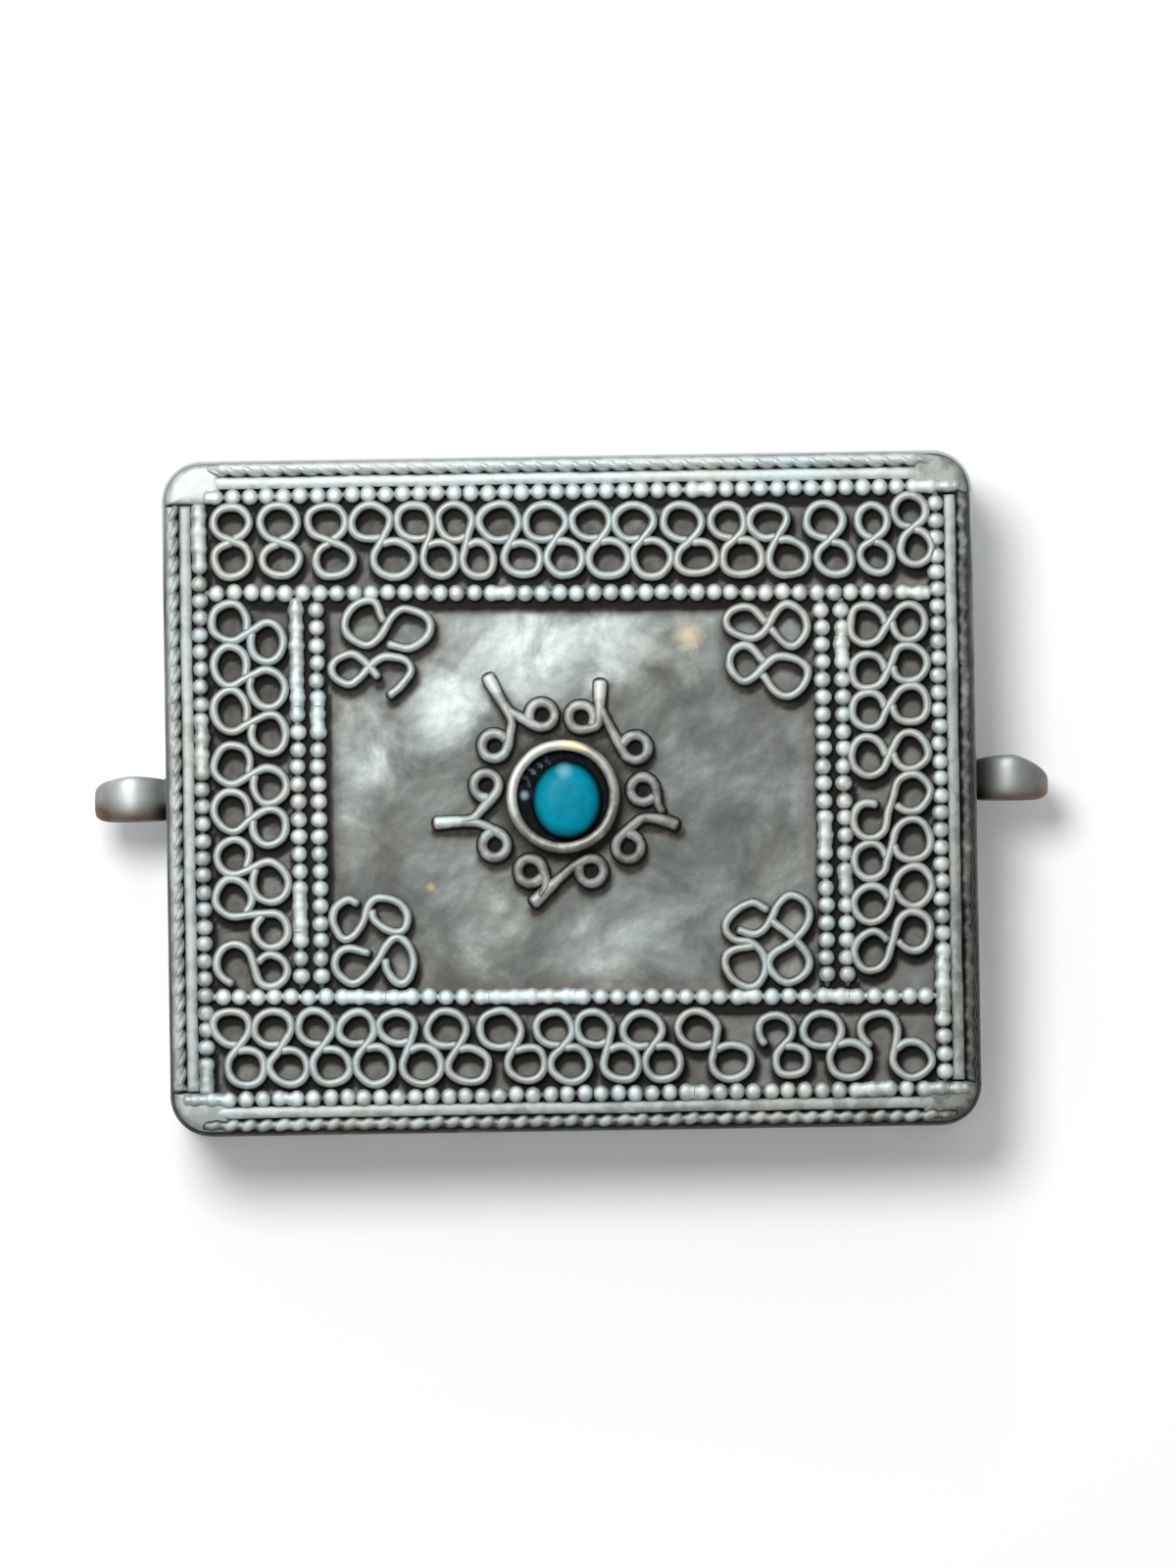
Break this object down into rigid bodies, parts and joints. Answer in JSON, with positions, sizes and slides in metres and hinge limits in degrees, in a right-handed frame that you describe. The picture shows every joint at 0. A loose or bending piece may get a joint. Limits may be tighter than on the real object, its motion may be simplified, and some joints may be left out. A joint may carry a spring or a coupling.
{
  "type": "amulet box",
  "caption": "Rectangular amulet box with a filigree front, a turquoise in a bezel, side loops for a cord and a lift-off cover over a shallow tray.",
  "frame": {"origin": "middle of the back face, with the box lying on its back", "axes": "+X to the right along the long side with the loops, +Y up the front, +Z out of the front"},
  "size_m": [0.071, 0.05, 0.0156],
  "materials": {
    "sheet_silver": "aged silver sheet, grey patina with worn edges",
    "front_silver": "aged silver sheet, dented, with grey-brown patina",
    "wire_silver": "aged silver wire, polished on top and dark in the recesses",
    "loop_silver": "worn silver strip, smooth, warm at the edges",
    "bezel_silver": "worn silver, smooth rounded rim",
    "lac": "dark resin bed, semi-gloss",
    "turquoise": "polished turquoise"
  },
  "bodies": {
    "tray": {"tray_back_plate": "sheet_silver", "tray_wall": "sheet_silver"},
    "cover": {"bezel_ring": "bezel_silver", "border_beads_bottom": "wire_silver", "border_beads_left": "wire_silver", "border_beads_right": "wire_silver", "border_beads_top": "wire_silver", "border_plain_bottom": "wire_silver", "border_plain_left": "wire_silver", "border_plain_right": "wire_silver", "border_plain_top": "wire_silver", "border_rope_bottom": "wire_silver", "border_rope_left": "wire_silver", "border_rope_right": "wire_silver", "border_rope_top": "wire_silver", "corner_pad_bottom_left": "wire_silver", "corner_pad_bottom_right": "wire_silver", "corner_pad_top_left": "wire_silver", "corner_pad_top_right": "wire_silver", "corner_scrolls_bottom_left": "wire_silver", "corner_scrolls_bottom_right": "wire_silver", "corner_scrolls_top_left": "wire_silver", "corner_scrolls_top_right": "wire_silver", "cover_wall": "sheet_silver", "front_plate": "front_silver", "inner_beads_bottom": "wire_silver", "inner_beads_left_inner": "wire_silver", "inner_beads_left_outer": "wire_silver", "inner_beads_right_inner": "wire_silver", "inner_beads_right_outer": "wire_silver", "inner_beads_top": "wire_silver", "rosette_spray_1": "wire_silver", "rosette_spray_2": "wire_silver", "rosette_spray_3": "wire_silver", "rosette_spray_4": "wire_silver", "rosette_spray_5": "wire_silver", "scroll_band_bottom": "wire_silver", "scroll_band_left": "wire_silver", "scroll_band_right": "wire_silver", "scroll_band_top": "wire_silver", "stone_bed": "lac", "suspension_loop_left": "loop_silver", "suspension_loop_right": "loop_silver", "turquoise": "turquoise"}
  },
  "joints": [
    {"name": "cover_lift", "type": "slide", "parent": "tray", "child": "cover", "axis": [0, 0, 1], "range_m": [0, 0.02]}
  ]
}
